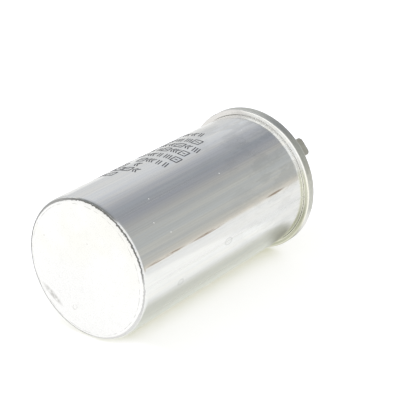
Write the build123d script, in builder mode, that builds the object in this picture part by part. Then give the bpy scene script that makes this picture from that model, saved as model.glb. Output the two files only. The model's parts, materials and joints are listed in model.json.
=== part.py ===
from build123d import *
import os

# Motor run capacitor in a drawn aluminium can. It stands on its closed base, with the
# origin at the middle of the base, +Z up to the terminals and the two terminals on X.
# All sizes are in millimetres.

# Can, drawn in one piece
can_radius = 22.5
can_wall = 0.5
can_base = 0.8
base_corner_radius = 1.8
rim_height = 85.0

# Double seam: five layers of sheet with a film of sealing compound between them. Rolling
# it shut presses the can's wall in a little, so the wall is slightly tapered there, and
# presses the under side of the curl flat, close against the wall.
seam_height = 4.1
seam_gap = 0.1
seam_draw_in = 0.05
hook_end_gap = 0.15
curl_edge_radius = 0.45
curl_foot_radius = 0.15

# Lid, pressed in one piece
lid_wall = 0.5
panel_depth = 3.6
channel_depth = 1.6
channel_width = 2.5
channel_fold_radius = 0.7

# Twin-blade terminals, one strip each, for 6.3 mm push-on connectors. The inset is from
# the edge of the lid's panel to the middle of a terminal.
terminal_inset = 6.85
blade_width = 6.3
blade_thickness = 0.8
blade_gap = 6.2
blade_reach = 12.0
blade_tip_radius = 1.5
blade_bend_radius = 0.6
blade_edge_chamfer = 0.2
detent_radius = 0.75
detent_below_tip = 3.9

# Moulded base under each terminal
base_floor = 1.8
base_height = 5.2
base_wall = 1.6
base_outer_corner = 1.6
base_top_chamfer = 0.4
blade_clearance = 0.2
spigot_radius = 3.0
spigot_clearance = 0.2
spigot_end_gap = 0.1

# Rubber sealing ring between the moulded base and the lid
sealing_ring_radius = 4.6
sealing_ring_thickness = 0.8

# Rivet that clamps each terminal stack
rivet_radius = 1.7
rivet_clearance = 0.05
rivet_head_radius = 2.4
rivet_head_height = 1.0
rivet_foot_radius = 2.4
rivet_foot_height = 0.9

# Insulating washer under the lid, with a groove that keeps the solder lug from turning
washer_radius = 5.0
washer_thickness = 1.2
lug_groove_clearance = 0.1

# Solder lug
lug_width = 4.6
lug_thickness = 0.5
lug_reach = 8.0
lug_tab_drop = 4.2
lug_bend_radius = 0.4
lug_hole_above_end = 1.6

# Film winding on its core, with sprayed metal end faces and an outer wrap
core_radius = 4.5
core_wall = 1.2
spray_thickness = 0.6
wrap_thickness = 0.6
head_space = 13.9

# Insulating tray between the winding and the can's base
tray_clearance = 0.3
tray_wall = 0.8
tray_base = 1.0
tray_depth = 14.0
tray_corner_radius = 1.4
wrap_clearance = 0.3
rib_height = 2.0
rib_width = 1.2
rib_count = 6
rib_inner_radius = 9.0

# Slotted spacer between the winding and the lid, which holds the leads apart
spacer_wall = 1.4
spacer_deck = 1.4
spacer_foot_height = 4.0
spacer_foot_width = 1.5
spacer_foot_inset = 2.0
spacer_top_gap = 0.2
spacer_notch_width = 8.0
spacer_notch_depth = 3.0
vent_radius = 2.2
vent_circle_radius = 12.0
vent_count = 4

# Leads of tinned wire, soldered into the lugs, and the tight sleeve on the long one
wire_radius = 0.5
wire_bend_radius = 1.8
wire_end = 1.2
lead_hole_radius = 1.5
lead_foot = 4.0
solder_pad_radius = 2.0
solder_pad_height = 1.2
solder_pad_clearance = 1.5
sleeve_wall = 0.4
sleeve_end_gap = 2.5

# Seam levels and radii, worked out layer by layer from the can's outer wall
seam_z = rim_height - seam_height
hook_inside = (lid_wall + 2 * seam_gap) / 2
fold_x = can_radius - seam_draw_in + hook_inside
hook_outside = hook_inside + can_wall
cover_inside = hook_outside + seam_gap
cover_outside = cover_inside + lid_wall
fold_z = rim_height - cover_outside
rim_radius = fold_x + cover_outside
curl_inside = (can_wall + 2 * seam_gap) / 2
curl_outside = curl_inside + lid_wall
curl_x = rim_radius - curl_outside
curl_z = seam_z + curl_outside
body_hook_end = curl_z + hook_end_gap
cover_hook_end = fold_z - hook_end_gap

# Lid levels
chuck_radius = fold_x - cover_outside
panel_radius = chuck_radius - channel_width
panel_z = rim_height - panel_depth
channel_z = panel_z - channel_depth
panel_under_z = panel_z - lid_wall
channel_under_z = channel_z - lid_wall
lid_hole_radius = spigot_radius + spigot_clearance

# Terminal stack, from the lid up and from the lid down
terminal_x = panel_radius - terminal_inset
base_z = panel_z + sealing_ring_thickness
bridge_z = base_z + base_floor
head_z = bridge_z + blade_thickness
blade_top_z = rim_height + blade_reach
bridge_length = blade_gap + 2 * blade_thickness
washer_z = panel_under_z - washer_thickness
lug_z = washer_z + lug_thickness
foot_z = washer_z - rivet_foot_height
bore_radius = rivet_radius + rivet_clearance

# Levels inside the can
can_inside = can_radius - can_wall
tray_radius = can_inside - tray_clearance
wrap_radius = tray_radius - tray_wall - wrap_clearance
winding_radius = wrap_radius - wrap_thickness
spray_bottom_z = can_base + tray_base + rib_height
film_bottom_z = spray_bottom_z + spray_thickness
spray_top_z = panel_under_z - head_space
film_top_z = spray_top_z - spray_thickness
deck_z = spray_top_z + spacer_foot_height
foot_radius = winding_radius - spacer_foot_inset
foot_inner_radius = foot_radius - spacer_foot_width
short_pad_x = foot_inner_radius - solder_pad_clearance - solder_pad_radius
lead_slot_radius = short_pad_x + solder_pad_radius / 2 - lead_foot
lug_hole_z = washer_z - lug_tab_drop + lug_hole_above_end
tab_x = terminal_x - lug_reach

terminals = ((1, 1), (2, -1))
axis_planes = {
    side: Plane(origin=(side * terminal_x, 0, 0), x_dir=(side, 0, 0), z_dir=(0, -side, 0))
    for number, side in terminals
}
axis_lines = {side: Axis((side * terminal_x, 0, 0), (0, 0, 1)) for number, side in terminals}

os.makedirs("parts", exist_ok=True)

# Can: base, rounded corner and wall, with the mouth turned out and down as the body hook
with BuildPart() as can:
    with BuildSketch(Plane.XZ) as can_section:
        with BuildLine() as can_outline:
            outside = FilletPolyline(
                (0, 0), (can_radius, 0), (can_radius, seam_z), radius=base_corner_radius
            )
            Line(outside @ 1, (fold_x - hook_inside, fold_z))
            CenterArc((fold_x, fold_z), hook_inside, 180, -180)
            Polyline(
                (fold_x + hook_inside, fold_z),
                (fold_x + hook_inside, body_hook_end),
                (fold_x + hook_outside, body_hook_end),
                (fold_x + hook_outside, fold_z),
            )
            CenterArc((fold_x, fold_z), hook_outside, 0, 180)
            inside = FilletPolyline(
                (can_inside, seam_z),
                (can_inside, can_base),
                (0, can_base),
                radius=base_corner_radius - can_wall,
            )
            Line((fold_x - hook_outside, fold_z), inside @ 0)
            Line(inside @ 1, outside @ 0)
        make_face()
    revolve(axis=Axis.Z)
can.part.label = "can"
export_step(can.part, "parts/can.step")

# Lid: one sheet that forms the panel, the channel, the chuck wall, the cover over the
# body hook, the flattened curl and the cover hook tucked up behind it. The outline goes
# out along the sheet's upper side and comes back along its under side.
with BuildPart() as lid:
    with BuildSketch(Plane.XZ) as lid_section:
        with BuildLine() as lid_outline:
            dish = FilletPolyline(
                (0, panel_z),
                (panel_radius, panel_z),
                (panel_radius, channel_z),
                (chuck_radius, channel_z),
                (chuck_radius, fold_z),
                radius=channel_fold_radius,
            )
            CenterArc((fold_x, fold_z), cover_outside, 180, -180)
            curl = FilletPolyline(
                (rim_radius, fold_z),
                (rim_radius, seam_z),
                (curl_x - curl_outside, seam_z),
                (curl_x - curl_outside, cover_hook_end),
                radius=[curl_edge_radius, curl_foot_radius],
            )
            Polyline(
                curl @ 1,
                (curl_x - curl_inside, cover_hook_end),
                (curl_x - curl_inside, curl_z),
            )
            CenterArc((curl_x, curl_z), curl_inside, 180, 180)
            Line((fold_x + cover_inside, curl_z), (fold_x + cover_inside, fold_z))
            CenterArc((fold_x, fold_z), cover_inside, 0, 180)
            dish_under = FilletPolyline(
                (chuck_radius + lid_wall, fold_z),
                (chuck_radius + lid_wall, channel_under_z),
                (panel_radius - lid_wall, channel_under_z),
                (panel_radius - lid_wall, panel_under_z),
                (0, panel_under_z),
                radius=[
                    channel_fold_radius + lid_wall,
                    channel_fold_radius + lid_wall,
                    channel_fold_radius - lid_wall,
                ],
            )
            Line(dish_under @ 1, dish @ 0)
        make_face()
    revolve(axis=Axis.Z)
    with Locations((terminal_x, 0, panel_z), (-terminal_x, 0, panel_z)):
        Hole(radius=lid_hole_radius)
lid.part.label = "lid"
export_step(lid.part, "parts/lid.step")

# Sealing compound: the film between the body hook and the cover that lies over it
with BuildPart() as seam_sealant:
    with BuildSketch(Plane.XZ) as sealant_section:
        with BuildLine() as sealant_outline:
            film_over = CenterArc((fold_x, fold_z), cover_inside, 180, -180)
            film_outer = Line(film_over @ 1, (fold_x + cover_inside, body_hook_end))
            film_end = Line(film_outer @ 1, (fold_x + hook_outside, body_hook_end))
            film_inner = Line(film_end @ 1, (fold_x + hook_outside, fold_z))
            film_under = CenterArc((fold_x, fold_z), hook_outside, 0, 180)
            Line(film_under @ 1, film_over @ 0)
        make_face()
    revolve(axis=Axis.Z)
seam_sealant.part.label = "seam_sealant"
export_step(seam_sealant.part, "parts/seam_sealant.step")

# Sealing rings: rubber, squeezed between each moulded base and the lid
for number, side in terminals:
    with BuildPart() as sealing_ring:
        with BuildSketch(Plane.XY.offset(panel_z)) as ring_section:
            with Locations((side * terminal_x, 0)):
                Circle(sealing_ring_radius)
                Circle(spigot_radius, mode=Mode.SUBTRACT)
        extrude(amount=sealing_ring_thickness)
    sealing_ring.part.label = f"sealing_ring_{number}"
    export_step(sealing_ring.part, f"parts/sealing_ring_{number}.step")

# Terminal bases: moulded cups with a spigot that lines the hole in the lid
for number, side in terminals:
    with BuildPart() as terminal_base:
        with BuildSketch(Plane.XY.offset(base_z)) as base_section:
            with Locations((side * terminal_x, 0)):
                RectangleRounded(
                    bridge_length + 2 * (blade_clearance + base_wall),
                    blade_width + 2 * (blade_clearance + base_wall),
                    base_outer_corner,
                )
        extrude(amount=base_height)
        base_rim = terminal_base.edges().group_by(Axis.Z)[-1]
        chamfer(base_rim, base_top_chamfer)
        with BuildSketch(Plane.XY.offset(bridge_z)) as pocket_section:
            with Locations((side * terminal_x, 0)):
                Rectangle(bridge_length + 2 * blade_clearance, blade_width + 2 * blade_clearance)
        extrude(amount=base_height - base_floor, mode=Mode.SUBTRACT)
        with BuildSketch(Plane.XY.offset(base_z)) as spigot_section:
            with Locations((side * terminal_x, 0)):
                Circle(spigot_radius)
        extrude(amount=-(sealing_ring_thickness + lid_wall - spigot_end_gap))
        with Locations((side * terminal_x, 0, bridge_z)):
            Hole(radius=bore_radius)
    terminal_base.part.label = f"terminal_base_{number}"
    export_step(terminal_base.part, f"parts/terminal_base_{number}.step")

# Terminals: a strip bent into a U, with rounded tips, bevelled edges and detent holes
for number, side in terminals:
    with BuildPart() as terminal:
        with BuildSketch(axis_planes[side]) as strip_section:
            with BuildLine() as strip_outline:
                strip_outside = FilletPolyline(
                    (-bridge_length / 2, blade_top_z),
                    (-bridge_length / 2, bridge_z),
                    (bridge_length / 2, bridge_z),
                    (bridge_length / 2, blade_top_z),
                    radius=blade_bend_radius + blade_thickness,
                )
                strip_inside = FilletPolyline(
                    (blade_gap / 2, blade_top_z),
                    (blade_gap / 2, head_z),
                    (-blade_gap / 2, head_z),
                    (-blade_gap / 2, blade_top_z),
                    radius=blade_bend_radius,
                )
                Line(strip_outside @ 1, strip_inside @ 0)
                Line(strip_inside @ 1, strip_outside @ 0)
            make_face()
        extrude(amount=blade_width / 2, both=True)
        tip_corners = terminal.edges().filter_by(Axis.X).group_by(Axis.Z)[-1]
        fillet(tip_corners, blade_tip_radius)
        tips = terminal.faces().group_by(Axis.Z)[-1]
        chamfer(tips.edges().filter_by(Axis.Y), blade_edge_chamfer)
        with BuildSketch(Plane.YZ.offset(side * terminal_x)) as detent_section:
            with Locations((0, blade_top_z - detent_below_tip)):
                Circle(detent_radius)
        extrude(amount=bridge_length, both=True, mode=Mode.SUBTRACT)
        with Locations((side * terminal_x, 0, head_z)):
            Hole(radius=bore_radius, depth=blade_thickness)
    terminal.part.label = f"terminal_{number}"
    export_step(terminal.part, f"parts/terminal_{number}.step")

# Rivets: a domed head inside the terminal and a foot spread under the solder lug
for number, side in terminals:
    with BuildPart() as rivet:
        with BuildSketch(axis_planes[side]) as rivet_section:
            with BuildLine() as rivet_outline:
                dome = TangentArc(
                    (0, head_z + rivet_head_height), (rivet_head_radius, head_z), tangent=(1, 0)
                )
                Polyline(
                    dome @ 1,
                    (rivet_radius, head_z),
                    (rivet_radius, washer_z),
                    (rivet_foot_radius, washer_z),
                    (rivet_radius, foot_z),
                    (0, foot_z),
                    dome @ 0,
                )
            make_face()
        revolve(axis=axis_lines[side])
    rivet.part.label = f"rivet_{number}"
    export_step(rivet.part, f"parts/rivet_{number}.step")

# Inner washers: insulating discs under the lid, grooved across for the solder lug
for number, side in terminals:
    with BuildPart() as inner_washer:
        with BuildSketch(Plane.XY.offset(washer_z)) as washer_section:
            with Locations((side * terminal_x, 0)):
                Circle(washer_radius)
                Circle(bore_radius, mode=Mode.SUBTRACT)
        extrude(amount=washer_thickness)
        with BuildSketch(Plane.XY.offset(washer_z)) as groove_section:
            with Locations((side * terminal_x, 0)):
                Rectangle(2 * washer_radius, lug_width + 2 * lug_groove_clearance)
        extrude(amount=lug_thickness, mode=Mode.SUBTRACT)
    inner_washer.part.label = f"inner_washer_{number}"
    export_step(inner_washer.part, f"parts/inner_washer_{number}.step")

# Solder lugs: strips under the washers, with a tab bent down to take the wire
for number, side in terminals:
    with BuildPart() as solder_lug:
        with BuildSketch(axis_planes[side]) as lug_section:
            with BuildLine() as lug_outline:
                lug_outside = FilletPolyline(
                    (lug_width / 2, lug_z),
                    (-lug_reach, lug_z),
                    (-lug_reach, washer_z - lug_tab_drop),
                    radius=lug_bend_radius + lug_thickness,
                )
                lug_inside = FilletPolyline(
                    (-lug_reach + lug_thickness, washer_z - lug_tab_drop),
                    (-lug_reach + lug_thickness, washer_z),
                    (lug_width / 2, washer_z),
                    radius=lug_bend_radius,
                )
                Line(lug_outside @ 1, lug_inside @ 0)
                Line(lug_inside @ 1, lug_outside @ 0)
            make_face()
        extrude(amount=lug_width / 2, both=True)
        tab_corners = solder_lug.edges().filter_by(Axis.X).group_by(Axis.Z)[0]
        fillet(tab_corners, lug_width / 3)
        with Locations((side * terminal_x, 0, lug_z)):
            Hole(radius=bore_radius, depth=lug_thickness)
        with BuildSketch(Plane.YZ) as wire_hole_section:
            with Locations((0, lug_hole_z)):
                Circle(wire_radius)
        extrude(amount=side * terminal_x, mode=Mode.SUBTRACT)
    solder_lug.part.label = f"solder_lug_{number}"
    export_step(solder_lug.part, f"parts/solder_lug_{number}.step")

# Bottom tray: a shallow insulating cup, with ribs that hold the winding off its floor
with BuildPart() as bottom_tray:
    with BuildSketch(Plane.XZ) as tray_section:
        with BuildLine() as tray_outline:
            tray_outside = FilletPolyline(
                (0, can_base),
                (tray_radius, can_base),
                (tray_radius, can_base + tray_depth),
                radius=tray_corner_radius,
            )
            tray_lip = Line(tray_outside @ 1, (tray_radius - tray_wall, can_base + tray_depth))
            tray_inside = FilletPolyline(
                tray_lip @ 1,
                (tray_radius - tray_wall, can_base + tray_base),
                (0, can_base + tray_base),
                radius=tray_corner_radius - tray_wall,
            )
            Line(tray_inside @ 1, tray_outside @ 0)
        make_face()
    revolve(axis=Axis.Z)
    with BuildSketch(Plane.XY.offset(can_base + tray_base)) as rib_section:
        with PolarLocations((rib_inner_radius + winding_radius) / 2, rib_count, start_angle=30):
            Rectangle(winding_radius - rib_inner_radius, rib_width)
    extrude(amount=rib_height)
bottom_tray.part.label = "bottom_tray"
export_step(bottom_tray.part, "parts/bottom_tray.step")

# Core tube: the former on which the film is wound
with BuildPart() as core_tube:
    with BuildSketch(Plane.XY.offset(spray_bottom_z)) as core_section:
        Circle(core_radius)
        Circle(core_radius - core_wall, mode=Mode.SUBTRACT)
    extrude(amount=spray_top_z - spray_bottom_z)
core_tube.part.label = "core_tube"
export_step(core_tube.part, "parts/core_tube.step")

# Winding: the turns of metallised film, as one solid
with BuildPart() as winding:
    with BuildSketch(Plane.XY.offset(film_bottom_z)) as film_section:
        Circle(winding_radius)
        Circle(core_radius, mode=Mode.SUBTRACT)
    extrude(amount=film_top_z - film_bottom_z)
winding.part.label = "winding"
export_step(winding.part, "parts/winding.step")

# End sprays: metal sprayed on the winding's two end faces, which joins its turns
for name, level in (("end_spray_bottom", spray_bottom_z), ("end_spray_top", film_top_z)):
    with BuildPart() as end_spray:
        with BuildSketch(Plane.XY.offset(level)) as spray_section:
            Circle(winding_radius)
            Circle(core_radius, mode=Mode.SUBTRACT)
        extrude(amount=spray_thickness)
    end_spray.part.label = name
    export_step(end_spray.part, f"parts/{name}.step")

# Outer wrap: plain film wound round the winding
with BuildPart() as outer_wrap:
    with BuildSketch(Plane.XY.offset(film_bottom_z)) as wrap_section:
        Circle(wrap_radius)
        Circle(winding_radius, mode=Mode.SUBTRACT)
    extrude(amount=film_top_z - film_bottom_z)
outer_wrap.part.label = "outer_wrap"
export_step(outer_wrap.part, "parts/outer_wrap.step")

# Top spacer: a deck on a ring foot, with a wall that stops the winding from rising
with BuildPart() as top_spacer:
    with BuildSketch(Plane.XY.offset(spray_top_z)) as foot_section:
        Circle(foot_radius)
        Circle(foot_inner_radius, mode=Mode.SUBTRACT)
    extrude(amount=spacer_foot_height)
    with BuildSketch(Plane.XY.offset(deck_z)) as deck_section:
        Circle(tray_radius)
    extrude(amount=spacer_deck)
    with BuildSketch(Plane.XY.offset(deck_z + spacer_deck)) as wall_section:
        Circle(tray_radius)
        Circle(tray_radius - spacer_wall, mode=Mode.SUBTRACT)
    extrude(amount=channel_under_z - spacer_top_gap - deck_z - spacer_deck)
    with BuildSketch(Plane.YZ) as notch_section:
        with Locations((0, channel_under_z - spacer_top_gap)):
            Rectangle(spacer_notch_width, 2 * spacer_notch_depth)
    extrude(amount=can_radius, both=True, mode=Mode.SUBTRACT)
    with BuildSketch(Plane.XY.offset(deck_z)) as lead_holes:
        Circle(lead_hole_radius)
        with Locations((lead_slot_radius, 0)):
            Circle(lead_hole_radius)
        with PolarLocations(vent_circle_radius, vent_count, start_angle=45):
            Circle(vent_radius)
    extrude(amount=spacer_deck, mode=Mode.SUBTRACT)
top_spacer.part.label = "top_spacer"
export_step(top_spacer.part, "parts/top_spacer.step")

# Short lead: from the first lug through the deck to the top end spray
with BuildPart() as lead_1:
    with BuildLine(Plane.XZ) as short_route:
        FilletPolyline(
            (tab_x - wire_end, lug_hole_z),
            (lead_slot_radius, lug_hole_z),
            (lead_slot_radius, spray_top_z + wire_radius),
            (lead_slot_radius + lead_foot, spray_top_z + wire_radius),
            radius=wire_bend_radius,
        )
    with BuildSketch(Plane(origin=short_route.line @ 0, z_dir=short_route.line % 0)):
        Circle(wire_radius)
    sweep(path=short_route.line)
    with BuildSketch(Plane.XY.offset(spray_top_z)) as short_pad:
        with Locations((short_pad_x, 0)):
            Circle(solder_pad_radius)
    extrude(amount=solder_pad_height, taper=20)
lead_1.part.label = "lead_1"
export_step(lead_1.part, "parts/lead_1.step")

# Long lead: from the second lug down the bore of the core to the bottom end spray
with BuildPart() as lead_2:
    with BuildLine(Plane.XZ) as long_route:
        FilletPolyline(
            (-tab_x - wire_end, lug_hole_z),
            (0, lug_hole_z),
            (0, spray_bottom_z - wire_radius),
            (-lead_slot_radius, spray_bottom_z - wire_radius),
            radius=wire_bend_radius,
        )
    with BuildSketch(Plane(origin=long_route.line @ 0, z_dir=long_route.line % 0)):
        Circle(wire_radius)
    sweep(path=long_route.line)
    with BuildSketch(Plane.XY.offset(spray_bottom_z)) as long_pad:
        with Locations((-lead_slot_radius, 0)):
            Circle(solder_pad_radius)
    extrude(amount=-solder_pad_height, taper=20)
lead_2.part.label = "lead_2"
export_step(lead_2.part, "parts/lead_2.step")

# Lead sleeve: keeps the long lead clear of the core and the top end spray
with BuildPart() as lead_sleeve:
    with BuildSketch(Plane.XY.offset(spray_bottom_z + sleeve_end_gap)) as sleeve_section:
        Circle(wire_radius + sleeve_wall)
        Circle(wire_radius, mode=Mode.SUBTRACT)
    extrude(amount=deck_z + spacer_deck - spray_bottom_z - sleeve_end_gap)
lead_sleeve.part.label = "lead_sleeve"
export_step(lead_sleeve.part, "parts/lead_sleeve.step")
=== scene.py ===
# %% [markdown]
# # A motor run capacitor in a drawn aluminium can
#
# The real object is a round can drawn out of one disc of aluminium. A lid is rolled onto its mouth in a
# double seam, and two terminals with push-on blades stand on the lid. The solids already have these shapes,
# so this lesson is mostly about surfaces: how drawn metal, tin plate and moulded plastic catch the light, and
# how rows of ink marks lie on a round wall. We start by loading the packed model. Blender works in metres, so
# a length in millimetres is multiplied by MM.

# %% Load the packed model
import json
import math

import bpy
import numpy as np
from mathutils import Matrix, Vector


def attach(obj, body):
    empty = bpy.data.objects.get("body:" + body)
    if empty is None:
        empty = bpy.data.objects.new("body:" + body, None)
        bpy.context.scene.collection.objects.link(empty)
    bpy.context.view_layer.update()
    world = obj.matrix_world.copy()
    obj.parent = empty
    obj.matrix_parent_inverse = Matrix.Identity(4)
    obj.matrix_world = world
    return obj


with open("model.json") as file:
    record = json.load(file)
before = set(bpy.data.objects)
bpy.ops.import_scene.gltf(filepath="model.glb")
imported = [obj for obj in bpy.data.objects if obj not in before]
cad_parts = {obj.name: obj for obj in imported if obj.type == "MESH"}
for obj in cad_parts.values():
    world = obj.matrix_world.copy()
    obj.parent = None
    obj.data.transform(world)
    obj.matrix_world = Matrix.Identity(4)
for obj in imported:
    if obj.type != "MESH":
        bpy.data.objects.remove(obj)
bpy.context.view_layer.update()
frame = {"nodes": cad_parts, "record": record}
nodes = frame["nodes"]
scene = bpy.context.scene
MM = 0.001

# %% [markdown]
# ## Where the can lies, and where the camera stands
#
# The can lies on its side on a table. It touches the table with its seam and with the edge of its closed
# end, so it leans by about one degree. The model stands upright in its own frame, and nothing in it may
# be turned. So we leave the can where it is, and bring the table, the lamp and the camera round to it
# instead.

# %% Directions of the table
CAN_RADIUS = 22.5
table_up = Vector((0.63728, -0.77034, 0.02118)).normalized()
along_can = (Vector((0, 0, 1)) - table_up * table_up.z).normalized()
towards_viewer = along_can.cross(table_up).normalized()
print("towards the viewer", [round(c, 3) for c in towards_viewer])

# %% Camera
LENS = 128.0127
SENSOR_WIDTH = 36.0
NEAREST_SEEN = 10.0
CAMERA_PLACE = Vector((0.31581314, 0.01519645, -0.27042907))
view_forward = Vector((-0.69430716, -0.03712704, 0.7187205))
view_up = Vector((0.39308158, -0.85610925, 0.33550532))
view_right = view_forward.cross(view_up).normalized()
view_turn = Matrix((view_right, view_up, -view_forward)).transposed()
eye = bpy.data.objects.new("eye", bpy.data.cameras.new("eye"))
eye.data.lens = LENS
eye.data.sensor_width = SENSOR_WIDTH
eye.data.clip_start = NEAREST_SEEN * MM
eye.matrix_world = Matrix.Translation(CAMERA_PLACE) @ view_turn.to_4x4()
scene.collection.objects.link(eye)
scene.camera = eye
scene.view_settings.view_transform = "Standard"
print("camera", [round(c, 3) for c in eye.matrix_world.translation])

# %% [markdown]
# ## Shader sums written as Python
#
# A finish is a sum of patterns, and node graphs are hard to read as lists of links. So we wrap a socket
# in a small class, `Value`, whose operators each add one Math node. `Finish` owns a node tree and has one
# method that adds any other node. With these two, `1 - mask` or `0.1 + 0.05 * grain` is a line of Python
# and also a piece of the graph.

# %% Value: a socket that can be used in sums
class Value:
    """A socket of a node tree. Each operator adds a Math node that works on it."""

    def __init__(self, finish, socket):
        self.finish = finish
        self.socket = socket

    def math(self, operation, *others):
        """A Math node with this value first and the others after it."""
        given = dict(enumerate((self,) + others))
        return self.finish.node("ShaderNodeMath", {"operation": operation}, given)

    def __add__(self, other):
        return self.math("ADD", other)

    def __sub__(self, other):
        return self.math("SUBTRACT", other)

    def __rsub__(self, other):
        return self.finish.node("ShaderNodeMath", {"operation": "SUBTRACT"}, {0: other, 1: self})

    def __mul__(self, other):
        return self.math("MULTIPLY", other)

    def __truediv__(self, other):
        return self.math("DIVIDE", other)

    def __pow__(self, other):
        return self.math("POWER", other)

    __radd__ = __add__
    __rmul__ = __mul__

    def out(self, name):
        """Another output of the node that this value comes from."""
        return Value(self.finish, self.socket.node.outputs[name])

    def up_to_one(self):
        """This value, cut off at 1."""
        return self.math("MINIMUM", 1.0)

    def ramp(self, low, high, to_low=0.0, to_high=1.0):
        """Runs smoothly from to_low, at or below low, to to_high, at or above high."""
        settings = {"interpolation_type": "SMOOTHSTEP"}
        inputs = {0: self, 1: low, 2: high, 3: to_low, 4: to_high}
        return self.finish.node("ShaderNodeMapRange", settings, inputs)

    def band(self, low, low_full, high_full, high):
        """1 from low_full to high_full, and 0 up to low and from high on."""
        return self.ramp(low, low_full) * self.ramp(high_full, high, 1.0, 0.0)


print("a Value has", ", ".join(name for name in vars(Value) if not name.startswith("_")))


# %% Finish: a node tree and the method that adds nodes
class Finish:
    """A node tree with its patterns. It starts empty."""

    def __init__(self, tree):
        self.tree = tree
        tree.nodes.clear()

    def node(self, kind, settings=None, inputs=None, output=0):
        """Adds a node: first its settings, or a ramp's stops, then a value or a link for each input."""
        made = self.tree.nodes.new(kind)
        for name, setting in (settings or {}).items():
            if name == "stops":
                while len(made.color_ramp.elements) < len(setting):
                    made.color_ramp.elements.new(1.0)
                for element, (place, colour) in zip(made.color_ramp.elements, setting):
                    element.position = place
                    element.color = (*colour, 1.0)
            else:
                setattr(made, name, setting)
        for name, given in (inputs or {}).items():
            if isinstance(given, Value):
                self.tree.links.new(given.socket, made.inputs[name])
            elif isinstance(given, tuple) and len(given) == 3 and made.inputs[name].type == "RGBA":
                made.inputs[name].default_value = (*given, 1.0)
            else:
                made.inputs[name].default_value = given
        return Value(self, made.outputs[output]) if made.outputs else made

    def place(self):
        """The point on the surface, in metres in the model's own frame."""
        return self.node("ShaderNodeTexCoord").out("Object")

    def parts(self, vector):
        """The x, y and z of a vector."""
        split = self.node("ShaderNodeSeparateXYZ", {}, {0: vector})
        return split, split.out("Y"), split.out("Z")

    def reach(self, direction):
        """How far the point on the surface reaches from the origin along a direction."""
        inputs = {0: self.place(), 1: tuple(direction)}
        return self.node("ShaderNodeVectorMath", {"operation": "DOT_PRODUCT"}, inputs).out("Value")

    def noise(self, scale, stretch=(1, 1, 1), detail=3.0, rough=0.5, shift=(0, 0, 0)):
        """Noise from 0 to 1. scale is in spots per metre, and a small stretch draws them out that way."""
        moved = self.node("ShaderNodeMapping", {}, {
            "Vector": self.place(), "Scale": stretch, "Location": shift,
        })
        return self.node("ShaderNodeTexNoise", {}, {
            "Vector": moved, "Scale": scale, "Detail": detail, "Roughness": rough,
        })

    def mix(self, share, first, second):
        """The first colour where share is 0, and the second where it is 1."""
        inputs = {0: share, 6: first, 7: second}
        return self.node("ShaderNodeMix", {"data_type": "RGBA"}, inputs, output=2)

    def oval(self, centre, half_sizes, turn=0.0):
        """How far out a point lies of an oval that is turned about z: 0 at its centre and 1 on its edge."""
        local = self.node("ShaderNodeMapping", {"vector_type": "TEXTURE"}, {
            "Vector": self.place(), "Location": centre, "Rotation": (0, 0, turn), "Scale": half_sizes,
        })
        return self.node("ShaderNodeVectorMath", {"operation": "LENGTH"}, {0: local}).out("Value")


def new_finish(name):
    """A new material with an empty node tree, and the Finish that fills it."""
    material = bpy.data.materials.new(name)
    material.use_nodes = True
    return material, Finish(material.node_tree)


def mirror_rays(finish):
    """1 for rays that come off a glossy surface and have met no matt one on their way, else 0."""
    rays = finish.node("ShaderNodeLightPath")
    return rays.out("Is Glossy Ray") * rays.out("Diffuse Depth").math("LESS_THAN", 0.5)


print("a Finish has", ", ".join(name for name in vars(Finish) if not name.startswith("_")))

# %% [markdown]
# ## The studio round the can
#
# Bright metal has almost no colour of its own: it shows the room. A lamp alone would leave the can black
# with a few white spots. So the world gives rays off glossy surfaces a room of greys, as a ramp over the
# direction's angle round the can: darkest a little above the middle of the wall, lighter again towards
# the top, and warm just before the white of the table begins. Rays that leave past the closed end find a
# white room with one grey patch in it. The camera sees plain white, and everything else gets an even soft
# light.

# %% Greys of the room
WHITE = (1.0, 1.0, 1.0)
WHITE_ROOM = (1.03, 1.03, 1.02)
GREY_PATCH = (0.26, 0.27, 0.27)
PLAIN_LIGHT = (0.62, 0.62, 0.62)
ROOM_GREYS = (
    (-180, (1.02, 1.02, 1.01)),
    (-152, (0.97, 0.97, 0.96)),
    (-140, (0.74, 0.745, 0.74)),
    (-116, (0.72, 0.725, 0.73)),
    (-100, (0.76, 0.77, 0.78)),
    (-88, (0.68, 0.69, 0.71)),
    (-76, (0.56, 0.57, 0.59)),
    (-64, (0.45, 0.46, 0.49)),
    (-50, (0.36, 0.38, 0.41)),
    (-38, (0.36, 0.37, 0.40)),
    (-26, (0.43, 0.43, 0.43)),
    (-8, (0.49, 0.50, 0.49)),
    (12, (0.54, 0.55, 0.53)),
    (28, (0.55, 0.555, 0.535)),
    (36, (0.55, 0.55, 0.515)),
    (41, (0.64, 0.615, 0.56)),
    (45, (0.72, 0.67, 0.58)),
    (49, (1.03, 1.03, 1.0)),
)
print(len(ROOM_GREYS), "greys round the can")


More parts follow.
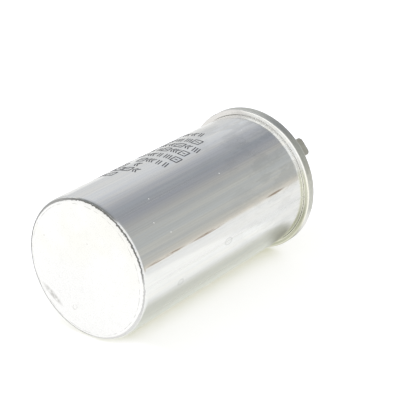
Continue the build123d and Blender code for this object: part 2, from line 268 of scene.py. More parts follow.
# %% World
def studio():
    """White for the camera, the room for reflections, and one plain level for the rest."""
    world = bpy.data.worlds.new("studio")
    scene.world = world
    world.use_nodes = True
    sky = Finish(world.node_tree)
    x, y, z = sky.parts(sky.node("ShaderNodeTexCoord"))
    round_can = y.math("ARCTAN2", x) / (2 * math.pi) + 0.5
    stops = [(degrees / 360 + 0.5, grey) for degrees, grey in ROOM_GREYS]
    greys = sky.node("ShaderNodeValToRGB", {"stops": stops}, {0: round_can})
    patch = y.ramp(-0.60, -0.45, 1.0, 0.0) * x.ramp(-0.30, 0.0) * z.ramp(-0.55, -0.42)
    towards_end = sky.mix(patch, WHITE_ROOM, GREY_PATCH)
    room = sky.mix(z.ramp(-0.05, 0.30), towards_end, greys)
    plain = sky.mix(mirror_rays(sky), PLAIN_LIGHT, room)
    camera = sky.node("ShaderNodeLightPath").out("Is Camera Ray")
    seen = sky.mix(camera, plain, WHITE)
    light = sky.node("ShaderNodeBackground", {}, {"Color": seen, "Strength": 1.0})
    sky.node("ShaderNodeOutputWorld", {}, {"Surface": light})
    return world


print("world", studio().name, "with", len(scene.world.node_tree.nodes), "nodes")

# %% [markdown]
# ## The table and the ground
#
# The table is a sheet of white paper that touches the can's seam and the edge of its base. A second
# sheet, the ground, lies under the base, for views of the can standing up. Both are seen only from above,
# so neither hides the can from a camera on its other side. They are staging, and not part of the object.

# %% A square sheet
def sheet_of(name, centre, first, second, reach):
    """A square sheet: centre + first * u + second * v, with u and v from -reach to reach."""
    u, v = np.meshgrid(np.linspace(-reach, reach, 3), np.linspace(-reach, reach, 3), indexing="ij")
    points = np.array(centre) + u[..., None] * np.array(first) + v[..., None] * np.array(second)
    index = np.arange(9).reshape(3, 3)
    quads = np.stack([index[:-1, :-1], index[1:, :-1], index[1:, 1:], index[:-1, 1:]], axis=-1)
    mesh = bpy.data.meshes.new(name)
    mesh.from_pydata(points.reshape(-1, 3).tolist(), [], quads.reshape(-1, 4).tolist())
    sheet = bpy.data.objects.new(name, mesh)
    scene.collection.objects.link(sheet)
    return sheet


TABLE_REACH = 450.0
TABLE_MIDDLE = 45.0
GROUND_DROP = 0.02
table_middle = table_up * (-CAN_RADIUS * MM) + along_can * (TABLE_MIDDLE * MM)
table = sheet_of("table", table_middle, towards_viewer, along_can, TABLE_REACH * MM)
ground = sheet_of("ground", (0, 0, -GROUND_DROP * MM), (1, 0, 0), (0, 1, 0), TABLE_REACH * MM)
ground.visible_glossy = False
ground.visible_diffuse = False
ground.visible_shadow = False
for sheet, up in ((table, table_up), (ground, Vector((0, 0, 1)))):
    print(sheet.name, "faces up:", sheet.data.polygons[0].normal.dot(up) > 0)

# %% [markdown]
# ## Paper that is white and still holds a shadow
#
# White paper in a photograph is as bright as the picture can be, and its shadow is pale. Matt paper alone
# would come out grey, so it gets a glowing tone of its own on top of the light that falls on it. For the
# camera that tone is a painted shade, weaker on the viewer's side of the can so that the shadow shows there,
# and stronger elsewhere, which paints the shadow out. In reflections the wall shows the table from close by,
# and there the table carries a painted shadow: a darker strip beside the can, darkest by the seam, and light
# again past the seam and past the base.

# %% Tones of the table
SHADE_RUN = 50.0
# Tones of the painted shadow beside the can, as reflections see the table.
SHADE = (
    (0, (0.86, 0.86, 0.84)),
    (7, (0.71, 0.72, 0.66)),
    (13, (0.61, 0.625, 0.55)),
    (19, (0.53, 0.54, 0.47)),
    (25, (0.49, 0.50, 0.44)),
    (28, (0.56, 0.565, 0.51)),
    (31, (0.72, 0.72, 0.69)),
    (35, (0.84, 0.84, 0.81)),
    (45, (0.88, 0.88, 0.85)),
)
# Camera glow of the table: open, and a painted shade beside the can.
OPEN_TONE = (0.72, 0.72, 0.60)
SHADOW_TONE = (0.43, 0.43, 0.235)
# Painted shade by the seam, and lighter tones past the seam and the base, for reflections.
PAINTED_SHADE_BY_SEAM = (0.20, 0.20, 0.14)
TONE_PAST_SEAM = (0.76, 0.76, 0.74)
TONE_PAST_BASE = (0.90, 0.90, 0.88)
GROUND_TONE = (0.60, 0.60, 0.52)
GROUND_IN_METAL = (0.80, 0.80, 0.78)


def table_glow(coat):
    """The table's glow for the camera by place: weaker beside the can on the viewer's side, a painted shade
    there, and stronger elsewhere, which paints the shadow out.
    """
    across = coat.reach(towards_viewer)
    along = coat.reach(along_can)
    # Painted shade: the weaker glow beside the can on the viewer's side.
    shaded = across.ramp(-1 * MM, 8 * MM) * along.ramp(0.0, 10 * MM)
    return coat.mix(shaded, OPEN_TONE, SHADOW_TONE)


def table_in_metal(coat):
    """The table's tone in reflections, a painted shadow: a darker strip beside the can, darkest by the seam,
    light past the seam and the base. The stops of the strip are in mm from the line it rests on.
    """
    across = coat.reach(towards_viewer)
    along = coat.reach(along_can)
    stops = [(at / SHADE_RUN, tone) for at, tone in SHADE]
    strip = coat.node("ShaderNodeValToRGB", {"stops": stops}, {0: across / (SHADE_RUN * MM)})
    # Painted shade by the seam.
    painted_shade_by_seam = along.ramp(78 * MM, 87 * MM) * across.band(6 * MM, 12 * MM, 16 * MM, 34 * MM)
    beside = coat.mix(painted_shade_by_seam, strip, PAINTED_SHADE_BY_SEAM)
    with_back = coat.mix(along.ramp(90 * MM, 99 * MM), beside, TONE_PAST_SEAM)
    return coat.mix(along.ramp(-2 * MM, 12 * MM), TONE_PAST_BASE, with_back)


print("strip beside the can:", len(SHADE), "tones over", SHADE_RUN, "mm")


# %% Paper
PAPER_WHITE = (0.80, 0.80, 0.80)
UNDER_GLOW_SEEN = (0.67, 0.67, 0.875)
UNDER_GLOW_MIRRORED = (0.20, 0.20, 0.20)
FADE_FROM = TABLE_REACH * 0.6
FADE_TO = TABLE_REACH * 0.95


def fill_paper(coat, centre, seen_glow, mirrored_glow):
    """Matt paper with glowing tones, which on the table carry painted shade. It is seen from its front only
    and fades out at its edge.
    """
    camera = coat.node("ShaderNodeLightPath").out("Is Camera Ray")
    seen_or_mirrored = camera.math("MAXIMUM", mirror_rays(coat))
    under_glow = coat.mix(camera, UNDER_GLOW_MIRRORED, UNDER_GLOW_SEEN)
    paper_colour = coat.mix(seen_or_mirrored, PAPER_WHITE, under_glow)
    matt = coat.node("ShaderNodeBsdfDiffuse", {}, {"Color": paper_colour})
    own = coat.mix(camera, mirrored_glow, seen_glow)
    glow = coat.node("ShaderNodeEmission", {}, {"Color": own, "Strength": seen_or_mirrored})
    front = coat.node("ShaderNodeAddShader", {}, {0: matt, 1: glow})
    from_centre = {0: coat.place(), 1: centre}
    away = coat.node("ShaderNodeVectorMath", {"operation": "DISTANCE"}, from_centre).out("Value")
    faded = away.ramp(FADE_FROM * MM, FADE_TO * MM)
    gone = faded.math("MAXIMUM", coat.node("ShaderNodeNewGeometry").out("Backfacing"))
    clear = coat.node("ShaderNodeBsdfTransparent")
    shown = coat.node("ShaderNodeMixShader", {}, {0: gone, 1: front, 2: clear})
    coat.node("ShaderNodeOutputMaterial", {}, {"Surface": shown})


table_paper, coat = new_finish("table_paper")
fill_paper(coat, tuple(table_middle), table_glow(coat), table_in_metal(coat))
table.data.materials.append(table_paper)
ground_paper, coat = new_finish("ground_paper")
fill_paper(coat, (0, 0, 0), GROUND_TONE, GROUND_IN_METAL)
ground.data.materials.append(ground_paper)
print("paper:", len(table_paper.node_tree.nodes), "and", len(ground_paper.node_tree.nodes), "nodes")

# %% [markdown]
# ## The lamp
#
# One lamp stands above the table on the viewer's side. A sun lamp gives the same light all over, and a
# wide angle makes its shadows soft. The metal doesn't mirror it, because what the metal shows is already
# in the world.

# %% Lamp
LAMP_STRENGTH = 1.45
LAMP_WIDTH = 50
lamp = bpy.data.objects.new("lamp", bpy.data.lights.new("lamp", "SUN"))
lamp_from = (table_up + towards_viewer + along_can * 0.2).normalized()
lamp.data.energy = LAMP_STRENGTH
lamp.data.angle = math.radians(LAMP_WIDTH)
lamp.rotation_euler = lamp_from.to_track_quat("Z", "Y").to_euler()
lamp.visible_glossy = False
scene.collection.objects.link(lamp)
print("lamp from", [round(c, 3) for c in lamp_from])

# %% [markdown]
# ## Places on the can
#
# The marks on the wall have places of their own. A place is given by a height above the base and by a
# turn round the can, counted from the line that lies on top. A mask that is strongest on one side of the
# can comes from how far a point reaches from the axis towards that side.

# %% Places on the can
TOP_LINE = math.radians(-50.4)


def on_wall(turn, height):
    """A point on the wall in metres: turn in degrees from the top line to the far side, height in mm."""
    angle = TOP_LINE - math.radians(turn)
    return CAN_RADIUS * MM * math.cos(angle), CAN_RADIUS * MM * math.sin(angle), height * MM


def towards(coat, turn):
    """How far a point reaches from the axis towards the wall's line at this turn."""
    return coat.reach(Vector(on_wall(turn, 0)).normalized())


print("a point on the top line:", [round(c, 4) for c in on_wall(0, 40)])

# %% [markdown]
# ## How every finish ends
#
# Each finish works out a colour, how metallic and how rough the surface is, and a height. The first three
# go straight into a Principled shader. The height goes through a Bump node, which tilts the light on the
# surface and leaves its shape alone, because the shape belongs to the solids.

# %% Surface and relief
def principled(coat, colour, metallic, roughness, normal):
    """A Principled shader and the material's output."""
    shader = coat.node("ShaderNodeBsdfPrincipled", {}, {
        "Base Color": colour, "Metallic": metallic, "Roughness": roughness, "Normal": normal,
    })
    coat.node("ShaderNodeOutputMaterial", {}, {"Surface": shader})


def bump(coat, height, distance):
    """A Bump node: a height from 0 to 1 stands for that distance, in metres."""
    return coat.node("ShaderNodeBump", {}, {"Height": height, "Distance": distance})


finishes = {}
slots = {row["node"]: row["material_slot"] for row in frame["record"]["subparts"]}
print(len(set(slots.values())), "finishes to make")

# %% [markdown]
# ## Marks on the wall
#
# The wall has a few marks in fixed places: brown lines along the edge of the reflected table, which are a
# painted reflection, drops that dried and left an oval rim, and specks of dust. Each is an oval in space, and
# the painted edge lines are broken up by noise. Specks of dust aren't metal, so their mask also lowers the
# metallic value later on.

# %% Marks on the wall
# Painted reflection: dark brown lines along the edge of the reflected table, as turn, height and half length.
PAINTED_EDGE_LINES = ((-73.8, 11.0, 11.0), (-73.6, 66.0, 6.0), (-74.3, 31.0, 10.0))
EDGE_LINE_DEPTH = 0.4
EDGE_LINE_HALF_WIDTH = 0.46
DRY_DROPS = ((-22.0, 66.0, 1.3, 1.6), (-90.0, 40.0, 1.1, 1.8), (-101.0, 17.0, 1.0, 1.3))
DROP_DEPTH = 4.0
DUST = ((-59.5, 16.3), (-47.5, 12.1), (-29.5, 16.7), (-38.0, 47.0), (-12.0, 71.0))
SPECK_RADIUS = 0.22


def wall_marks(coat):
    """Masks of the painted reflection edges, the dried drops and the dust, each 0 where there is none."""
    ragged = coat.noise(1400, (1, 1, 0.10), detail=3.0, shift=(0.1, 0, 0))
    painted_edge = 0.0
    # The painted reflection edges, broken up by noise.
    for turn, height, half_length in PAINTED_EDGE_LINES:
        sizes = (EDGE_LINE_DEPTH * MM, EDGE_LINE_HALF_WIDTH * MM, half_length * MM)
        away = coat.oval(on_wall(turn, height), sizes, TOP_LINE - math.radians(turn))
        painted_edge = away.ramp(0.35, 1.0, 1.0, 0.0) * ragged.ramp(0.30, 0.48) + painted_edge
    dry = 0.0
    for turn, height, half_width, half_height in DRY_DROPS:
        sizes = (DROP_DEPTH * MM, half_width * MM, half_height * MM)
        away = coat.oval(on_wall(turn, height), sizes, TOP_LINE - math.radians(turn))
        dry = away.band(0.70, 0.90, 1.0, 1.2) + away.ramp(0.8, 1.0, 0.35, 0.0) + dry
    dust = 0.0
    for turn, height in DUST:
        away = coat.oval(on_wall(turn, height), (SPECK_RADIUS * MM,) * 3)
        dust = away.ramp(0.5, 1.0, 1.0, 0.0) + dust
    return painted_edge, dry, dust.up_to_one()


# The stains in this count are the painted reflection edges.
print(len(PAINTED_EDGE_LINES), "stains,", len(DRY_DROPS), "dried drops and", len(DUST), "specks of dust")

# %% [markdown]
# ## The drawn wall
#
# Drawing pulls the metal through a ring, which leaves fine lines along the can, and slow waves between them
# that make a reflected edge wander. Noise that is stretched along the axis gives both. The streaks are strong
# on the upper side and painted weak on the bright lower side, which mirrors the table and shows faint painted
# clouds: painted light of that reflection. Towards the seam the wall turns dull in blotches, and about its
# last millimetre carries a ragged painted highlight.

# %% Drawn wall
FINE_LINES = 3000
SLOW_BANDS = 520
COOL_BAND = (0.82, 0.84, 0.865)
WARM_BAND = (0.915, 0.91, 0.885)
LINE_GREY = (0.72, 0.72, 0.71)
DULL_GREY = (0.66, 0.67, 0.67)
# A painted highlight under the seam, and the brown of the painted reflection edges.
PAINTED_HIGHLIGHT_BRIGHT = (0.97, 0.97, 0.94)
PAINTED_EDGE_BROWN = (0.33, 0.25, 0.19)
DUST_WHITE = (0.92, 0.92, 0.92)


def drawn_wall(coat, z):
    """Colour, roughness, height and dust of the wall: lines, bands, dull blotches, the marks, a painted
    highlight under the seam and painted light on the lower side.
    """
    lines = coat.noise(FINE_LINES, (1, 1, 0.006), detail=2.0, rough=0.6)
    bands = coat.noise(SLOW_BANDS, (1, 1, 0.03), detail=4.0, rough=0.6, shift=(0.03, 0.01, 0))
    waves = coat.noise(120, (1, 1, 0.10), detail=1.0)
    specks = coat.noise(2600, detail=3.0, rough=0.7)
    blotches = coat.noise(300, (1, 1, 0.40), detail=5.0, rough=0.65)
    scratch = coat.noise(1100, (1, 1, 0.006), detail=0.0, shift=(0.2, 0, 0)).ramp(0.72, 0.80)
    drag = coat.noise(1700, (1, 1, 0.12), detail=3.0, shift=(0, 0.4, 0))
    dull = blotches.ramp(0.46, 0.60) * z.ramp(30 * MM, 68 * MM)
    # A ragged painted highlight on about the last millimetre under the seam.
    painted_highlight_band = (z + (drag - 0.5) * (2.0 * MM)).ramp(79.9 * MM, 80.8 * MM)
    painted_edge, dry, dust = wall_marks(coat)
    # Painted light: on the lower side, which mirrors the table, the streaks are weakened and faint clouds
    # added.
    low_side_painted_light = towards(coat, -112).ramp(15.7 * MM, 18.9 * MM)
    drawn = 1 - low_side_painted_light * 0.65
    cloudy = blotches.ramp(0.40, 0.62) * low_side_painted_light * 0.10
    soft = specks.ramp(0.50, 0.68) * 0.13 + dull * drawn * 0.46 + dry * 0.42 + cloudy
    banded = (bands.ramp(0.35, 0.65) - 0.5) * drawn + 0.5
    tint = coat.mix(banded, COOL_BAND, WARM_BAND)
    tint = coat.mix(lines.ramp(0.40, 0.66) * drawn * 0.42, tint, LINE_GREY)
    tint = coat.mix(soft, tint, DULL_GREY)
    tint = coat.mix(painted_highlight_band * 0.7, tint, PAINTED_HIGHLIGHT_BRIGHT)
    # The brown painted reflection edges.
    tint = coat.mix((painted_edge * 0.8).up_to_one(), tint, PAINTED_EDGE_BROWN)
    tint = coat.mix(dust, tint, DUST_WHITE)
    rough = 0.08 + bands * 0.04 + lines * 0.06 + dull * 0.07 + dry * 0.10 + scratch * 0.18 + painted_highlight_band * 0.16
    relief = (lines * 0.18 + bands * 0.45) * drawn + waves * 1.2
    relief = relief + blotches * z.ramp(45 * MM, 75 * MM) * 1.3
    return tint, rough, relief, dust


print("fine lines about", round(1 / (FINE_LINES * MM), 2), "mm apart,")
print("slow bands about", round(1 / (SLOW_BANDS * MM), 2), "mm apart")

# %% [markdown]
# ## The closed end
#
# The end of the can isn't drawn. It keeps the mottled face of the sheet, grey with dust on one side, and it
# is scuffed. A little cream on its upper side is a painted tint of what that side reflects. One scuff is long
# and torn into stripes, three are small, and one small mark is an open ring.

# %% Closed end
SCUFFS = (
    ((-18.3, 0.7), (5.8, 1.35), 75.6),
    ((-19.9, -8.9), (0.7, 0.35), 60.0),
    ((-7.7, -15.3), (0.3, 0.3), 0.0),
    ((6.7, -5.9), (0.25, 0.25), 0.0),
)
RING_MARK = ((-12.5, 7.6), (1.0, 0.7))
DUSTY = ((-9.0, 0.0), (16.0, 13.0), 20.0)
SHEET_SILVER = (0.975, 0.975, 0.98)
UPPER_PAINTED_CREAM = (0.955, 0.95, 0.92)
SPECK_GREY = (0.66, 0.66, 0.67)
SCUFF_GREY = (0.36, 0.35, 0.33)


def end_oval(coat, centre, half_sizes, turn=0.0):
    """An oval on the closed end, with its centre and half sizes in mm and its turn in degrees."""
    place = (centre[0] * MM, centre[1] * MM, 0.0)
    sizes = (half_sizes[0] * MM, half_sizes[1] * MM, MM)
    return coat.oval(place, sizes, math.radians(turn))


def closed_end(coat):
    """Colour, roughness and height of the closed end: the sheet's mottled face, dusty and scuffed, with a
    painted cream tint on its upper side.
    """
    mottle = coat.noise(420, detail=4.0, rough=0.6)
    clouds = coat.noise(70, detail=2.0)
    grain = coat.noise(3400, detail=3.0, rough=0.7)
    # Painted reflection tint: cream clouds on the side that faces up from the table.
    upper = coat.reach(table_up).ramp(-8 * MM, 10 * MM)
    dusty = end_oval(coat, *DUSTY).ramp(0.2, 1.0, 1.0, 0.0)
    speckled = grain.ramp(0.46, 0.70) * (dusty * 0.22 + 0.16)
    speckled = speckled + mottle.ramp(0.45, 0.75) * 0.08 + dusty * 0.03
    face = coat.mix(clouds.ramp(0.40, 0.62) * upper, SHEET_SILVER, UPPER_PAINTED_CREAM)
    face = coat.mix(speckled, face, SPECK_GREY)
    stripes = coat.noise(1300, (1, 0.5, 1), detail=4.0, rough=0.65).ramp(0.30, 0.56)
    scuffed = 0.0
    for scuff in SCUFFS:
        scuffed = end_oval(coat, *scuff).ramp(0.3, 1.0, 1.0, 0.0) + scuffed
    gaps = coat.noise(700, shift=(0.3, 0, 0)).ramp(0.4, 0.55)
    ring = end_oval(coat, *RING_MARK).band(0.5, 0.8, 1.0, 1.3) * gaps
    scuffed = (scuffed * stripes + ring * 0.5).up_to_one()
    colour = coat.mix(scuffed * 0.55, face, SCUFF_GREY)
    return colour, 0.22 + mottle * 0.10 + scuffed * 0.15, mottle * 0.4 + grain * 0.2


print(len(SCUFFS), "scuffs on the closed end, the longest", 2 * SCUFFS[0][1][0], "mm")

# %% [markdown]
# ## Painted shade in the crease of the base corner
#
# Where the wall turns into the base, the corner carries a thin dark line of painted shade. Towards +X it is
# dark and ragged, and elsewhere it is fainter and more even. It mostly fades out on the lower side, and is a
# little darker and wider on the far side. It is a mask over the height, and noise moves its edges up and
# down.

# %% Base corner
CREASE_LOW = 0.42
CREASE_HIGH = 0.70
CREASE_EDGE = 0.08


def corner_crease(coat, x, z):
    """How dark the painted shade in the crease is, from 0 to 1, on a thin band of the base corner."""
    chips = coat.noise(1100, detail=3.0, rough=0.7)
    ragged = x.ramp(6 * MM, 16 * MM)
    far = towards(coat, 115).ramp(12 * MM, 19 * MM)
    # The painted shade mostly fades out on the lower side.
    lower_side_fade = towards(coat, -130).ramp(11.5 * MM, 16.5 * MM)
    upper = z + (chips - 0.5) * (0.9 * MM) * (ragged * 0.7 + 0.15)
    inner = upper + (1 - ragged) * (0.22 * MM) + far * (0.08 * MM)
    begun = inner.ramp((CREASE_LOW - CREASE_EDGE) * MM, CREASE_LOW * MM)
    not_past = upper.ramp(CREASE_HIGH * MM, (CREASE_HIGH + CREASE_EDGE) * MM, 1.0, 0.0)
    return begun * not_past * (ragged * 0.30 + far * 0.22 + 0.60) * (1 - lower_side_fade * 0.62)


print("the ragged crease lies", CREASE_LOW, "to", CREASE_HIGH, "mm above the base")

# %% [markdown]
# ## Drawn aluminium, put together
#
# The wall and the closed end are told apart by their height. A faint ring lies on the base just inside the
# corner, and in the narrow corner under the seam the wall carries a painted highlight, bright and matt on the
# side of the lamp. Where the crease's painted shade, the dust and that painted highlight lie, the metallic
# value falls.

# %% Drawn aluminium
# Dark of the crease's painted shade and of the faint ring.
CORNER_DARK = (0.12, 0.12, 0.11)
# The painted highlight in the corner under the seam.
PAINTED_HIGHLIGHT_MATT = (0.96, 0.96, 0.93)


def drawn_aluminium():
    """Bright drawn metal: streaks on the wall, a mottled closed end and a creased corner between them."""
    material, coat = new_finish("drawn_aluminium")
    x, y, z = coat.parts(coat.place())
    radius = (x * x + y * y) ** 0.5
    on_end = z.ramp(0.1 * MM, 0.9 * MM, 1.0, 0.0)
    wall_colour, wall_rough, wall_relief, dust = drawn_wall(coat, z)
    end_colour, end_rough, end_relief = closed_end(coat)
    crease = corner_crease(coat, x, z)
    faint = coat.noise(500, detail=2.0).ramp(0.42, 0.60) * 0.30
    ring = radius.band(20.55 * MM, 20.67 * MM, 20.76 * MM, 20.9 * MM) * faint
    # Painted highlight: bright and matt under the seam, on the lamp's side.
    painted_highlight_under_seam = z.ramp(80.4 * MM, 80.75 * MM) * towards(coat, -30).ramp(15 * MM, 19 * MM)
    colour = coat.mix(on_end, wall_colour, end_colour)
    # Painted shade in the crease, and the faint ring.
    colour = coat.mix((crease + ring).up_to_one(), colour, CORNER_DARK)
    colour = coat.mix(painted_highlight_under_seam, colour, PAINTED_HIGHLIGHT_MATT)
    rough = wall_rough * (1 - on_end) + end_rough * on_end + crease * 0.45
    relief = wall_relief * (1 - on_end) + end_relief * on_end
    bare = (1 - crease * 0.9) * (1 - dust) * (1 - painted_highlight_under_seam * 0.95)
    principled(coat, colour, bare, rough, bump(coat, relief, 0.04 * MM))
    return material


finishes["drawn_aluminium"] = drawn_aluminium()
print("drawn aluminium:", len(finishes["drawn_aluminium"].node_tree.nodes), "nodes")

# %% [markdown]
# ## Pressed aluminium of the lid
#
# The lid is pressed from harder sheet, and its edge is rolled round the can's mouth. The rolls drag over the
# outside of the seam and leave it dull and a little olive, with short lines across it, except on the lower
# side, which is painted lighter. The underside of the curl carries a painted highlight on the side of the
# lamp. On the lower side it is painted cream, a painted reflection, with a darker olive groove of painted
# shade, and elsewhere it is grey.

# %% Underside of the curl
# The curl's underside is painted by side: a highlight on the lamp's side, and cream with a shaded olive
# groove below.
CURL_PAINTED_HIGHLIGHT = (0.99, 0.985, 0.955)
CURL_GREY = (0.76, 0.745, 0.73)
CURL_PAINTED_CREAM = (0.95, 0.935, 0.85)
CURL_PAINTED_GROOVE_SHADE = (0.68, 0.68, 0.56)


def curl_underside(coat, radius, lit_side):
    """Colour of the curl's underside: a painted highlight on the lamp's side, painted cream with an olive
    groove of painted shade on the lower side, or grey.
    """
    groove = radius.band(22.8 * MM, 23.0 * MM, 23.5 * MM, 23.9 * MM)
    olive = coat.mix(groove, CURL_PAINTED_CREAM, CURL_PAINTED_GROOVE_SHADE)
    lower = towards(coat, -110).ramp(14.5 * MM, 17.5 * MM)
    shaded = coat.mix(lower, CURL_GREY, olive)
    return coat.mix(lit_side, shaded, CURL_PAINTED_HIGHLIGHT)


print("the groove is darker than the cream by", round(CURL_PAINTED_CREAM[0] - CURL_PAINTED_GROOVE_SHADE[0], 2))


# %% Pressed aluminium
PANEL_DARK = (0.80, 0.80, 0.78)
PANEL_LIGHT = (0.87, 0.865, 0.84)
ROLLED_DARK = (0.55, 0.56, 0.52)
ROLLED_LIGHT = (0.68, 0.685, 0.64)


def pressed_aluminium():
    """The lid: satin on its panel, dull and olive on the rolled outer wall of the seam."""
    material, coat = new_finish("pressed_aluminium")
    x, y, z = coat.parts(coat.place())
    radius = (x * x + y * y) ** 0.5
    lit_side = towards(coat, -33).ramp(17.5 * MM, 21.0 * MM)
    low_side_painted_light = towards(coat, -125).ramp(22.0 * MM, 23.6 * MM)
    drag = coat.noise(900, (1, 1, 6.0), detail=3.0)
    mottle = coat.noise(500, detail=3.0)
    # On the lower side the dull band is left out: painted light there.
    rolled = radius.ramp(23.8 * MM, 24.1 * MM) * z.ramp(81.2 * MM, 81.6 * MM) * (1 - low_side_painted_light)
    under = z.ramp(81.15 * MM, 81.5 * MM, 1.0, 0.0) * radius.ramp(22.4 * MM, 22.6 * MM)
    # On the lamp's side the curl's foot loses its metal, so its bright colour shows as a painted highlight.
    foot = radius.ramp(22.85 * MM, 23.1 * MM, 1.0, 0.0) * z.ramp(81.3 * MM, 81.6 * MM, 1.0, 0.0)
    plain = coat.mix(mottle, PANEL_DARK, PANEL_LIGHT)
    plain = coat.mix(under, plain, curl_underside(coat, radius, lit_side))
    dull = coat.mix(drag.ramp(0.35, 0.65), ROLLED_DARK, ROLLED_LIGHT)
    colour = coat.mix(rolled, plain, dull)
    rough = 0.16 + mottle * 0.08 + rolled * 0.14
    relief = mottle * 0.3 + drag * rolled * 0.5
    principled(coat, colour, 1 - foot * lit_side * 0.95, rough, bump(coat, relief, 0.03 * MM))
    return material


finishes["pressed_aluminium"] = pressed_aluminium()
print("pressed aluminium:", len(finishes["pressed_aluminium"].node_tree.nodes), "nodes")

# %% [markdown]
# ## The terminals, and what is inside
#
# The blades are brass strip under dull tin, the rivets are plated, and the bases are moulded in a dark
# hard plastic. The pieces inside the sealed can are never seen, but the model keeps them, so each has a
# finish as well. Two functions are enough: one for plated and sprayed metal, and one for whatever is
# moulded or wound. Each row of the two tables gives a name, a light and a dark colour and a roughness, and
# then anything that differs from what the function takes by itself.

# %% Metals and plastics
GRAIN_RELIEF = 0.02


def metal_finish(name, light, dark, rough, stretch=(1, 1, 1), scale=900):
    """Plated or sprayed metal with a grain that can be stretched, between a light and a dark colour."""
    material, coat = new_finish(name)
    grain = coat.noise(scale, stretch, detail=4.0)
    cloud = coat.noise(260, detail=3.0)
    colour = coat.mix((grain * 0.5 + cloud * 0.5).ramp(0.35, 0.65), dark, light)
    principled(coat, colour, 1.0, rough + grain * 0.12, bump(coat, grain, GRAIN_RELIEF * MM))
    return material


def plastic_finish(name, light, dark, rough, scale=1500, relief=GRAIN_RELIEF):
    """A moulded, wound or printed surface: fine grain, with its relief in mm, over slow clouds."""
    material, coat = new_finish(name)
    grain = coat.noise(scale, detail=3.0)
    cloud = coat.noise(180, detail=2.0)
    colour = coat.mix(cloud.ramp(0.3, 0.7), dark, light)
    principled(coat, colour, 0.0, rough + grain * 0.12, bump(coat, grain, relief * MM))
    return material


print("grain is at most", GRAIN_RELIEF, "mm high")

# %% Finishes of the other pieces
METALS = (
    ("tinned_strip", (0.64, 0.63, 0.57), (0.52, 0.51, 0.45), 0.30, (1, 1, 0.1)),
    ("rivet_metal", (0.74, 0.74, 0.72), (0.60, 0.60, 0.58), 0.22),
    ("tinned_wire", (0.80, 0.80, 0.78), (0.68, 0.68, 0.66), 0.22, (1, 1, 0.1)),
    ("sprayed_metal", (0.56, 0.57, 0.58), (0.36, 0.37, 0.38), 0.55, (1, 1, 1), 2200),
)
PLASTICS = (
    ("base_moulding", (0.055, 0.055, 0.06), (0.038, 0.038, 0.042), 0.38),
    ("seal_rubber", (0.045, 0.045, 0.045), (0.03, 0.03, 0.03), 0.65),
    ("sealing_compound", (0.60, 0.55, 0.44), (0.48, 0.43, 0.33), 0.6),
    ("white_moulding", (0.88, 0.87, 0.82), (0.82, 0.81, 0.76), 0.42),
    ("metallised_film", (0.74, 0.75, 0.78), (0.62, 0.63, 0.67), 0.18, 900),
    ("wrap_film", (0.88, 0.88, 0.82), (0.80, 0.80, 0.74), 0.16, 700),
    ("sleeve_plastic", (0.82, 0.82, 0.76), (0.74, 0.74, 0.68), 0.45),
)
for row in METALS:
    finishes[row[0]] = metal_finish(*row)
for row in PLASTICS:
    finishes[row[0]] = plastic_finish(*row)
print(len(METALS), "metals and", len(PLASTICS), "plastics")

# %% Finishes on the nodes
for name, node in nodes.items():
    node.data.materials.clear()
    node.data.materials.append(finishes[slots[name]])
print(len(finishes), "finishes on", len(nodes), "nodes")

# %% [markdown]
# ## Ink marks on the wall
#
# Nine printed rows run round the real can. Each row here is a plain pattern of strokes, chevrons and
# boxes, at the place and size of a real one. Ink could be a mask in the wall's finish, but it has a
# thickness and a sharp edge, so each mark is a flat band carried along a path on the unrolled wall. The
# wall is then rolled up again, so the band follows it exactly.

# %% A band of ink along a path
INK_STANDS = 0.02
INK_SINKS = 0.01
PATH_STEP = 0.45


def ink_band(path, width, closed):
    """The vertices and faces of a flat band along a path of points (round, height) in mm.

    Its edges are the path moved by half the width along its normal, either way. Rolled up, a length round the
    unrolled wall becomes that length divided by the can's radius, as an angle. Each edge is there twice, just
    above the wall and just below it, which closes the band.
    """
    path = np.asarray(path, float)
    step = np.roll(path, -1, 0) - np.roll(path, 1, 0)
    if not closed:
        step[0] = path[1] - path[0]
        step[-1] = path[-1] - path[-2]
    step /= np.linalg.norm(step, axis=1)[:, None]
    side = np.stack([-step[:, 1], step[:, 0]], axis=1) * width / 2
    flat = np.stack([path + side, path - side, path - side, path + side], axis=1)
    out = CAN_RADIUS + np.array([INK_STANDS, INK_STANDS, -INK_SINKS, -INK_SINKS])
    angle = flat[..., 0] / CAN_RADIUS
    rolled = np.stack([out * np.cos(angle), out * np.sin(angle), flat[..., 1]], axis=-1)
    index = np.arange(len(path) * 4).reshape(-1, 4)
    here = index if closed else index[:-1]
    after = np.roll(index, -1, 0) if closed else index[1:]
    quads = np.stack([here, np.roll(here, -1, 1), np.roll(after, -1, 1), after], axis=-1).reshape(-1, 4)
    caps = [] if closed else [index[0][::-1].tolist(), index[-1].tolist()]
    return rolled.reshape(-1, 3), quads.tolist() + caps


def through(*corners):
    """Points on straight runs between the corners, less than one step apart."""
    runs = []
    for a, b in zip(corners[:-1], corners[1:]):
        a = np.array(a, float)
        b = np.array(b, float)
        count = max(2, int(np.linalg.norm(b - a) / PATH_STEP) + 1)
        runs.append(a + (b - a) * np.linspace(0, 1, count, endpoint=False)[:, None])
    return np.concatenate(runs + [np.array([corners[-1]], float)])


print("a band 3 mm long has", len(ink_band(through((0, 0), (3, 0)), 0.4, False)[0]), "vertices")

# %% [markdown]
# ## Strokes, chevrons and boxes
#
# Three small shapes are enough for a row that reads as print from a step away and says nothing from close
# by. Each function returns its marks as paths with a width, and whether the path closes.

# %% Three kinds of marks
CAP = 2.9
STROKE = 0.40
THIN_STROKE = STROKE * 0.9
STROKE_PITCH = 0.9
STROKE_SLANT = 0.6
CHEVRON_PITCH = 0.95
CHEVRON_REACH = 0.85
BAR_INSET = 0.75


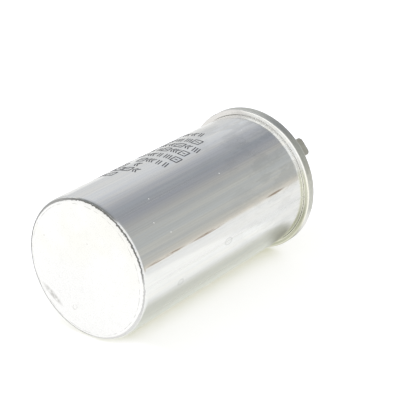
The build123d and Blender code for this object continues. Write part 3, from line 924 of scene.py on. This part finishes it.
def strokes(at, low, count):
    """Slanted strokes side by side, a little thinner than the rest."""
    made = []
    for k in range(count):
        foot = at + STROKE_PITCH * k
        made.append((through((foot, low), (foot + STROKE_SLANT, low + CAP)), THIN_STROKE, False))
    return made


def chevrons(at, low, count):
    """Pointed strokes one after another."""
    made = []
    for k in range(count):
        foot = at + CHEVRON_PITCH * k
        point = (foot + CHEVRON_REACH, low + CAP / 2)
        made.append((through((foot, low), point, (foot, low + CAP)), STROKE, False))
    return made


def outlined_box(at, low, width):
    """A box with a bar inside it."""
    right = at + width
    outline = through((at, low), (right, low), (right, low + CAP), (at, low + CAP), (at, low))[:-1]
    bar = through((at + BAR_INSET, low + CAP / 2), (right - BAR_INSET, low + CAP / 2))
    return [(outline, STROKE, True), (bar, STROKE, False)]


print("marks are", CAP, "mm high, with strokes", STROKE, "mm wide")

# %% [markdown]
# ## The nine rows
#
# Each row has a height in mm, the turn in degrees at which its visible end lies, the arc in degrees that it
# covers, and the gaps in it in mm from that end. The marks in it are drawn by lot with a fixed seed, so
# every run gives the same rows. They are laid from the visible end towards the far side, which is
# backwards on the unrolled wall.

# %% Rows of marks
ROWS = (
    (59.6, 4.8, 62, ()),
    (53.8, -4.0, 74, ()),
    (49.0, -12.0, 84, ()),
    (44.4, -9.1, 70, ((4, 6),)),
    (39.4, -11.5, 90, ()),
    (34.3, -10.0, 66, ((9, 13),)),
    (29.9, 8.2, 60, ((2, 4),)),
    (25.6, 0.8, 72, ((3, 6),)),
    (20.9, 13.9, 58, ()),
)
KINDS = ("strokes", "strokes", "strokes", "chevrons", "chevrons", "box")
MARK_GAP = 0.75
BOX_WIDTHS = (2.4, 3.4)
SEED = 11
print(len(ROWS), "rows from", ROWS[-1][0], "to", ROWS[0][0], "mm above the base")


# %% One row of marks
def row_marks(height, first, arc, gaps, rng):
    """The marks of one row, from its visible end round to the far side."""
    low = height - CAP / 2
    length = math.radians(arc) * CAN_RADIUS
    marks = []
    at = 0.0
    while at < length:
        kind = KINDS[rng.integers(0, len(KINDS))]
        count = int(rng.integers(2, 4))
        if kind == "strokes":
            made = strokes(at, low, count)
            width = STROKE_PITCH * count
        elif kind == "chevrons":
            made = chevrons(at, low, count)
            width = CHEVRON_PITCH * count
        else:
            width = float(rng.uniform(*BOX_WIDTHS))
            made = outlined_box(at, low, width)
        if not any(a <= at < b for a, b in gaps):
            marks += made
        at += width + MARK_GAP
    start = np.array([(TOP_LINE - math.radians(first)) * CAN_RADIUS, 0.0])
    backwards = np.array([-1.0, 1.0])
    return [(path * backwards + start, width, closed) for path, width, closed in marks]


longest = max(arc for height, first, arc, gaps in ROWS)
print("the longest row covers", round(math.radians(longest) * CAN_RADIUS, 1), "mm of the wall")

# %% All rows in one mesh
rng = np.random.default_rng(SEED)
points = []
faces = []
offset = 0
for row in ROWS:
    for path, width, closed in row_marks(*row, rng):
        vertices, quads = ink_band(path, width, closed)
        points.append(vertices)
        faces += [[i + offset for i in face] for face in quads]
        offset += len(vertices)
print(len(ROWS), "rows,", offset, "vertices")

# %% The piece of ink
DARK_INK = ("dark_ink", (0.10, 0.10, 0.11), (0.05, 0.05, 0.06), 0.5, 3000, 0.005)
mesh = bpy.data.meshes.new("ink_marks")
mesh.from_pydata((np.concatenate(points) * MM).tolist(), [], faces)
mesh.update()
ink_marks = bpy.data.objects.new("ink_marks", mesh)
scene.collection.objects.link(ink_marks)
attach(ink_marks, "root")
mesh.materials.append(plastic_finish(*DARK_INK))
print("ink marks:", len(mesh.polygons), "faces")

# %% [markdown]
# ## The end
#
